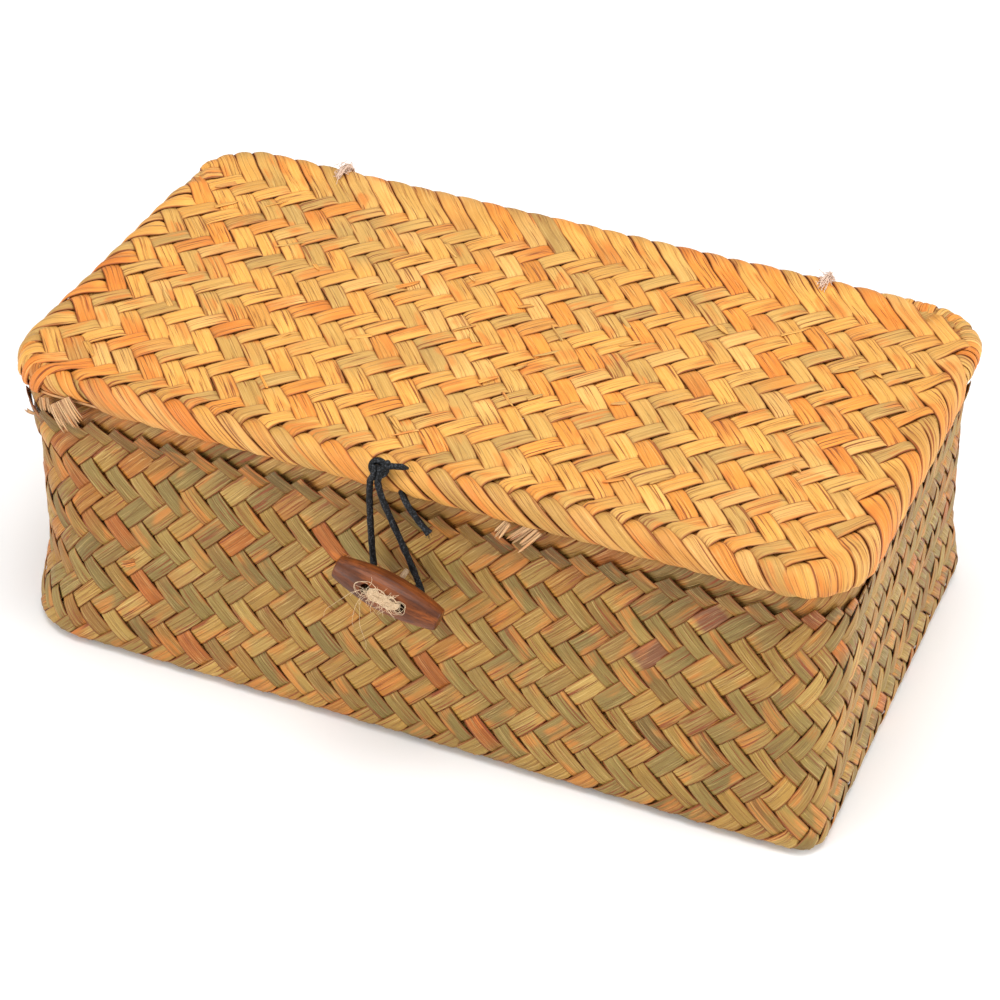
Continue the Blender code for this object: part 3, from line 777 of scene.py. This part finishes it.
def lid_strip(build, origin, step, ends, rolled, edges, woven, family):
    first_edge, last_edge = edges
    t = np.concatenate([
        np.linspace(ends[0], first_edge, max(3, int((first_edge - ends[0]) * 6))),
        np.arange(first_edge + 0.15, last_edge - 0.1, 0.2),
        np.linspace(last_edge, ends[1], max(3, int((ends[1] - last_edge) * 6)))])

    def sign_at(k):
        if k < woven[0]:
            return 0.6 if rolled[0] else -1.0
        if k > woven[1]:
            return 0.6 if rolled[1] else -1.0
        outside = k % 4 < 2
        return 1.0 if outside == (family == 0) else -1.0

    half = math.hypot(*step) / 2
    past = np.maximum(first_edge - t, t - last_edge)
    on_roll = np.clip((past - 0.2) / 0.6, 0.0, 1.0)
    width = half * (rng.uniform(1.0, 1.05) if family == 0 else rng.uniform(0.90, 1.02))
    slack = rng.uniform(-0.10, 0.14) if family == 0 else rng.uniform(-0.20, -0.04)
    width = width * (1.0 + slack * on_roll)
    add_strip(build, lid_surface, lambda t: np.zeros(len(t), int), origin, step, t, sign_at, width,
              LID_PALETTE, LID_WEIGHTS, lift=(rng.uniform(-0.12, 0.12) - 0.22) * on_roll,
              crown=0.05 + 0.50 * on_roll, shade=1.0 - 0.14 * on_roll, rim=0.94 + 0.05 * on_roll,
              arch=LID_ARCH, wander=0.18, tilting=0.06)


def lid_wear(build):
    for _ in range(34):
        place = (rng.uniform(-0.95, 0.95) * PANEL_LENGTH, rng.uniform(-0.95, 0.95) * PANEL_DEPTH)
        splinter(build, lid_surface, "front", place, rng.random() < 0.5, LID_PALETTE, LID_WEIGHTS)


def round_corner_of_roll(run, flip):
    """The roll's centre line from a short side round a corner to a long side: its place and outward way."""
    radius = PANEL_CORNER + ROLL_OUT
    angle = np.clip(run / radius, 0.0, math.pi / 2)
    out_x, out_y = np.cos(angle), np.sin(angle)
    x = STRAIGHT_X + radius * out_x - np.maximum(run - radius * math.pi / 2, 0.0)
    y = STRAIGHT_Y + radius * out_y + np.minimum(run, 0.0)
    return x * flip[0], y * flip[1], out_x * flip[0], out_y * flip[1]


def wrap(build, flip, place, half_width, twist, radius, start, end, shade=1.0):
    """One strip wound round the roll, from one angle to another. flip chooses the quarter of the lid."""
    section = np.array(((-1.0, 0.0), (-0.6, 0.32), (0.0, 0.45), (0.6, 0.32), (1.0, 0.0), (0.0, -0.2)))
    angle = np.linspace(start, end, 40)[:, None]
    dye = np.array(LID_PALETTE[rng.choice(len(LID_PALETTE), p=LID_WEIGHTS)])
    tone = dye * rng.uniform(0.88, 1.08) * shade
    v = section[:, 0][None] * half_width
    run = place + v + twist * (start - angle)
    x, y, out_x, out_y = round_corner_of_roll(run, flip)
    rise = radius + section[:, 1][None] + np.zeros_like(run)
    reach = rise * np.cos(angle)
    z = ROLL_HEIGHT + rise * np.sin(angle)
    points = np.stack([x + out_x * reach, y + out_y * reach, z], axis=-1)
    if flip[0] * flip[1] < 0:
        points = points[:, ::-1]
    fibre = grain(angle * radius, v, rng.uniform(0.0, 60.0))
    build.rings(points * MM, tone, fibre, np.abs(section[:, 0]))


def roll_wraps(build):
    """The back right corner is bound with fine strips and the front left one with a few wide ones. Others
    lie under the roll's strips all the way round, and close the corners where few strips end."""
    for place in np.arange(-15.0, 46.0, 2.9):
        wrap(build, (1, 1), place, rng.uniform(1.45, 1.75), rng.normal(0.0, 0.3), 3.9 + 0.1 * rng.normal(),
             math.pi, -math.pi)
    for place in np.arange(-4.0, 34.0, 6.4):
        wrap(build, (-1, -1), place, 3.6, 3.4, 4.0, 2.5, -2.2, shade=0.86)
    short, quarter = STRAIGHT_Y, (PANEL_CORNER + ROLL_OUT) * math.pi / 2
    long = STRAIGHT_X
    for flip in ((1, 1), (1, -1), (-1, 1), (-1, -1)):
        for place in np.arange(-short, quarter + long, 5.8):
            wrap(build, flip, place, 3.5, 1.2, 3.3, math.pi, -math.pi, shade=0.72)
        if flip[1] < 0:
            front_welt(build, flip, np.linspace(-short, quarter + long, 150))


def front_welt(build, flip, run):
    """The thin fold along the lower edge of the roll, from the middle of a short side round the front."""
    x, y, out_x, out_y = round_corner_of_roll(run, flip)
    around = np.linspace(0.0, 2.0 * math.pi, 7)[:-1]
    size = np.clip((run - run[0]) / 5.0, 0.02, 1.0)[:, None]
    reach = 3.15 + 0.30 * np.cos(around)[None] * size + 0.10 * np.sin(run / 7.0)[:, None]
    points = np.stack([x[:, None] + out_x[:, None] * reach, y[:, None] + out_y[:, None] * reach,
                       ROLL_HEIGHT - 3.75 + 0.50 * np.sin(around)[None] * size], axis=-1)
    if flip[0] * flip[1] > 0:
        points = points[:, ::-1]
    build.rings(points * MM, WELT, grain(run[:, None], np.zeros(reach.shape), 7.0))


def centre_of(node):
    low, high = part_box(node)
    return np.array((low + high) / 2)


# ---- closure ----
CORD_RADIUS = 0.001
BRAID = 0.16
LOOP_ROUTE = ((-0.0082, -0.0850, 0.1020), (-0.0086, -0.0851, 0.0960), (-0.0086, -0.0852, 0.0880),
              (-0.0084, -0.0852, 0.0780), (-0.0080, -0.0852, 0.0690), (-0.0071, -0.0852, 0.0620),
              (-0.0040, -0.0852, 0.0570), (0.0010, -0.0852, 0.0550), (0.0060, -0.0852, 0.0555),
              (0.0090, -0.0852, 0.0590), (0.0087, -0.0852, 0.0630), (0.0067, -0.0852, 0.0690),
              (0.0030, -0.0852, 0.0785), (-0.0010, -0.0852, 0.0880), (-0.0042, -0.0851, 0.0960),
              (-0.0057, -0.0850, 0.1020))
UPPER_TAIL = ((-0.0003, -0.0823, 0.1077), (0.0013, -0.0813, 0.1073), (0.0030, -0.0802, 0.1065))
LOWER_TAIL = ((0.0003, -0.0817, 0.0978), (0.0030, -0.0830, 0.0955), (0.0060, -0.0842, 0.0926),
              (0.0093, -0.0849, 0.0895), (0.0122, -0.0853, 0.0870))


def cord_line(route):
    return evenly(through(route), 0.0002)


def closure_loop(cord_material):
    """The route is the CAD's own."""
    line = cord_line(LOOP_ROUTE)
    build = Build()
    build.tube(line, CORD_RADIUS, sides=20, braid=BRAID)
    loop = build.object("cord_loop", cord_material, "closure_loop")
    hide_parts("closure_loop")


def closure_knot(cord_material):
    """The cord passes round its own legs twice; the loop's ends and both tails come out of it."""
    centre = centre_of("closure_knot")
    around = np.linspace(0.0, 2 * math.pi, 60)
    build = Build()
    rings = (((2.5, 0.0, -0.5), (0.3, 0.9, 2.1), (-0.2, -0.8, 0.3)),
             ((2.3, -0.4, 0.8), (-0.2, 1.7, 0.5), (-0.3, 0.3, -0.9)),
             ((1.1, -0.9, 1.7), (0.2, 1.6, 0.3), (1.2, 0.3, 0.2)))
    for first, second, place in rings:
        line = centre + MM * (np.array(place) + np.cos(around)[:, None] * np.array(first)
                              + np.sin(around)[:, None] * np.array(second))
        build.tube(line, CORD_RADIUS, sides=14, braid=BRAID)
    for end, bow in ((LOOP_ROUTE[0], -1.1), (LOOP_ROUTE[-1], 0.7)):
        middle = centre + np.array((bow, -2.5, -1.4)) * MM
        leg = cord_line((centre + np.array((bow, -1.2, 1.5)) * MM, middle, end))
        build.tube(leg, CORD_RADIUS, sides=14, braid=BRAID)
    made = build.object("cord_knot", cord_material, "lid")
    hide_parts("closure_knot")
    upper = ((-0.0035, -0.0832, 0.1076), *UPPER_TAIL)
    lower = ((-0.0055, -0.0755, 0.1010), (-0.0030, -0.0775, 0.1000), (-0.0010, -0.0795, 0.0985),
             *LOWER_TAIL[1:])
    # the upper tail ends in a point; the lower one is swollen and frayed
    for name, node, route, hairs in (("cord_tail_upper", "closure_tail_upper", upper, 3),
                                     ("cord_tail_lower", "closure_tail_lower", lower, 14)):
        build = Build()
        line = cord_line(route)
        left = lengths(line)[-1] - lengths(line)
        taper = np.clip(0.35 + left / 0.003, 0.0, 1.0)
        if route is lower:
            taper = 1.0 + np.clip(1.0 - left / 0.002, 0.0, 1.0) * 0.3
        build.tube(line, CORD_RADIUS, sides=16, braid=BRAID, taper=taper)
        for _ in range(hairs):
            start = line[-1] + rng.normal(0.0, 0.0005, 3)
            way = unit(line[-1] - line[-8]) + rng.normal(0.0, 0.4, 3)
            hair(build, start, way, rng.uniform(0.0006, 0.0018), 0.00007, 0.12, 0.02)
        tail = build.object(name, cord_material, "lid")
        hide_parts(node)


def hair(build, start, way, length, radius, curl, droop):
    """One loose fibre: it wanders, and sinks by droop at each step."""
    steps = max(6, int(length / 0.0009))
    way = unit(np.array(way, float))
    line = [np.array(start, float)]
    bend = rng.normal(0.0, curl, 3)
    for _ in range(steps):
        bend = 0.8 * bend + rng.normal(0.0, curl * 0.6, 3)
        way = unit(way + bend + np.array((0.0, 0.0, -droop)))
        line.append(line[-1] + way * length / steps)
    build.tube(np.array(line), radius, sides=5, taper=np.linspace(1.0, 0.55, steps + 1))


# ---- toggle and its stitch, with the CAD's own angles and sizes ----
TOGGLE_TILT = math.radians(16.6)
TOGGLE_ROLL = math.radians(-21.0)
TOGGLE_RADIUS = 6.45
HOLE_PLACE = 6.3  # from the toggle's middle to each hole


def on_toggle(along, back, up=0.0):
    """A place from the toggle's own axes, in millimetres, to metres in the frame."""
    c, s = math.cos(TOGGLE_ROLL), math.sin(TOGGLE_ROLL)
    y, z = c * back - s * up, s * back + c * up
    c, s = math.cos(TOGGLE_TILT), math.sin(TOGGLE_TILT)
    x, z = c * along + s * z, -s * along + c * z
    return centre_of("toggle") + np.array((x, y, z)) * MM


def toggle_stitch(thread):
    """A thread through both holes and the wall, with a ragged bar of fibres across the toggle's face."""
    build = Build()
    for side in (-1, 1):
        back = TOGGLE_RADIUS + 1.5
        route = (on_toggle(side * HOLE_PLACE, 3.8), on_toggle(side * HOLE_PLACE, 5.4),
                 on_toggle(side * (HOLE_PLACE - 1.4), back), on_toggle(side * 2.2, back + 0.3),
                 on_toggle(0.0, back + 1.2))
        build.tube(evenly(through(route), 0.0003), 0.0011, sides=12, braid=0.2)
    wall = on_toggle(0.0, TOGGLE_RADIUS + 1.2)
    inner = np.array(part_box("toggle_stitch")[1])
    shank = np.array([wall + (0.0, (inner[1] - wall[1]) * k / 12, 0.0) for k in range(13)])
    build.tube(shank, 0.0008, sides=12, braid=0.2)
    for _ in range(64):
        up = rng.normal(0.0, 0.58)
        out = rng.uniform(0.1, 1.1) * (1.0 - 0.12 * up * up)
        ends = rng.uniform(-0.7, 0.7, 2)
        loose = rng.normal(0.0, 0.62, 3)
        route = (on_toggle(-HOLE_PLACE + 1.3 + ends[0] * 0.2, -2.6, up * 0.3),
                 on_toggle(-HOLE_PLACE + 1.6 + ends[0] * 0.5, -TOGGLE_RADIUS - 0.15 * out, up * 0.8),
                 *(on_toggle(along, -TOGGLE_RADIUS - out, up * 1.1 + stray)
                   for along, stray in zip((-2.8, 0.0, 2.8), loose)),
                 on_toggle(HOLE_PLACE - 1.2 + ends[1], -TOGGLE_RADIUS - 0.15 * out, up),
                 on_toggle(HOLE_PLACE - 0.9 + ends[1] * 0.3, -2.6, up * 0.3))
        build.tube(evenly(through(route), 0.0007), rng.uniform(0.00009, 0.00017), sides=5)
    for _ in range(80):
        place = rng.uniform(-HOLE_PLACE, HOLE_PLACE - 1.0)
        start = on_toggle(place, -TOGGLE_RADIUS - 1.0, rng.normal(0.0, 1.0))
        way = rng.normal(0.0, 1.0, 3) * (1.0, 0.4, 0.8) + (0.0, -0.25, 0.1)
        hair(build, start, way, rng.uniform(0.0025, 0.0065), 0.00007, 0.42, 0.05)
    for side, length in ((-7.0, 0.020), (-6.0, 0.026), (-4.5, 0.015), (6.0, 0.010)):
        hair(build, on_toggle(side, -TOGGLE_RADIUS - 0.6), (-0.2, -0.5, 0.1), length, 0.00006, 0.12, 0.22)
    for middle, reach in ((-HOLE_PLACE - 0.3, 2.6), (-HOLE_PLACE + 1.0, 3.6), (HOLE_PLACE, 1.9),
                          (HOLE_PLACE - 0.8, 1.3), (HOLE_PLACE + 0.3, 2.3)):
        angle = np.linspace(0.0, rng.uniform(3.8, 5.6), 26) + rng.uniform(0.0, 6.0)
        uneven = rng.uniform(0.0, 6.0)
        circle = [on_toggle(middle + reach * (1.0 + 0.25 * math.sin(2 * a + uneven)) * math.cos(a),
                            -TOGGLE_RADIUS - 0.25 * reach, 0.4 + reach * 0.9 * math.sin(a)) for a in angle]
        build.tube(np.array(circle), 0.00007, sides=5)
    made = build.object("toggle_thread", thread, "toggle")
    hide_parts("toggle_stitch")


# ---- hinge ties ----
TIE_ROUTE = ((71.9, 106.0), (74.5, 107.1), (77.5, 107.2), (80.3, 106.1), (82.2, 103.7), (82.7, 101.0),
             (82.4, 98.2), (81.3, 96.1), (80.3, 93.5), (80.1, 90.5), (80.1, 87.0), (79.6, 84.5), (78.8, 83.3))


def hinge_tie(name, thread):
    """Loose strands round the lid's roll and down to the box, with a tuft on top. It bridges both bodies."""
    x = centre_of(name)[0]
    build = Build()
    for _ in range(16):
        offset = rng.normal(0.0, 0.00045, 3)
        line = np.array([(x + offset[0], y * MM + offset[1], z * MM + offset[2]) for y, z in TIE_ROUTE])
        line[:, 0] += 0.0006 * np.sin(np.arange(len(line)) * rng.uniform(0.6, 1.2) + rng.uniform(0.0, 6.0))
        build.tube(evenly(through(line), 0.0008), rng.uniform(0.00013, 0.00022), sides=5)
    for _ in range(64):
        start = np.array((x, 0.0770, 0.1068)) + rng.normal(0.0, 1.0, 3) * (0.0011, 0.0022, 0.0002)
        way = rng.normal(0.0, 1.0, 3) * (1.0, 1.0, 0.15) + (0.0, 0.5, 0.1)
        hair(build, start, way, rng.uniform(0.0016, 0.0036), 0.00017, 0.45, 0.40)
    made = build.object(name + "_thread", thread)
    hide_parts(name)
    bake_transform(made)


# ---- floor, light and the CAD pieces that stay ----
def make_floor():
    bpy.ops.mesh.primitive_plane_add(size=20.0, location=(0.0, 0.0, -0.0002))
    floor = bpy.context.object
    floor.name = "floor"
    g = Graph("pale_floor")
    floor.data.materials.append(g.finish(base_color=(0.93, 0.93, 0.93, 1.0), roughness=0.9))


def make_light():
    world = bpy.data.worlds.new("studio")
    world.use_nodes = True
    background = world.node_tree.nodes["Background"].inputs
    background["Color"].default_value = (1.0, 1.0, 1.0, 1.0)
    background["Strength"].default_value = 0.62
    bpy.context.scene.world = world
    for name, place, size, power in (("key", (0.15, -0.1, 1.5), 0.9, 12.6),
                                     ("fill", (-1.1, -1.4, 0.7), 1.0, 16.8),
                                     ("side", (1.7, 0.1, 0.6), 0.8, 18.5)):
        data = bpy.data.lights.new(name, "AREA")
        data.size = size
        data.energy = power
        aimed(name, data, place, (0.0, 0.0, 0.05))
    bpy.context.scene.view_settings.view_transform = "Standard"


def finish_cad(node, material):
    """Gives a CAD piece that stays as it is a better material."""
    mesh_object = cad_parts[node]
    for slot in mesh_object.material_slots:
        slot.link = "OBJECT"
        slot.material = material


make_camera()
cord_material = waxed_cord()
closure_loop(cord_material)
closure_knot(cord_material)

wall_straw = straw("wall_seagrass", 0.48, 0.50, 0.95, 0.38)
lid_straw = straw("lid_seagrass", 0.34, 0.75, 0.90, 0.30)
box_builds = box_strips()
box_wear(box_builds[0])
for number, build in enumerate(box_builds):
    piece = build.object(f"box_strips_{number + 1}", wall_straw, "basket")
    if number == 0:
        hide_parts("basket_body", "body_rim_wrap")
lid_builds = lid_strips()
roll_wraps(lid_builds[0])
lid_wear(lid_builds[1])
for number, build in enumerate(lid_builds):
    piece = build.object(f"lid_strips_{number + 1}", lid_straw, "lid")
    if number == 0:
        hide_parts("lid_panel", "lid_rim_wrap")

core = core_grass()
finish_cad("body_rim_core", core)
finish_cad("lid_rim_core", core)
finish_cad("toggle", toggle_wood())
thread = jute("jute_fibres", (0.84, 0.66, 0.44), (0.56, 0.38, 0.22))
tuft = jute("tie_fibres", (0.80, 0.62, 0.50), (0.52, 0.34, 0.24))
finish_cad("toggle_stitch_knot", thread)
toggle_stitch(thread)
hinge_tie("hinge_tie_left", tuft)
hinge_tie("hinge_tie_right", tuft)

make_floor()
make_light()
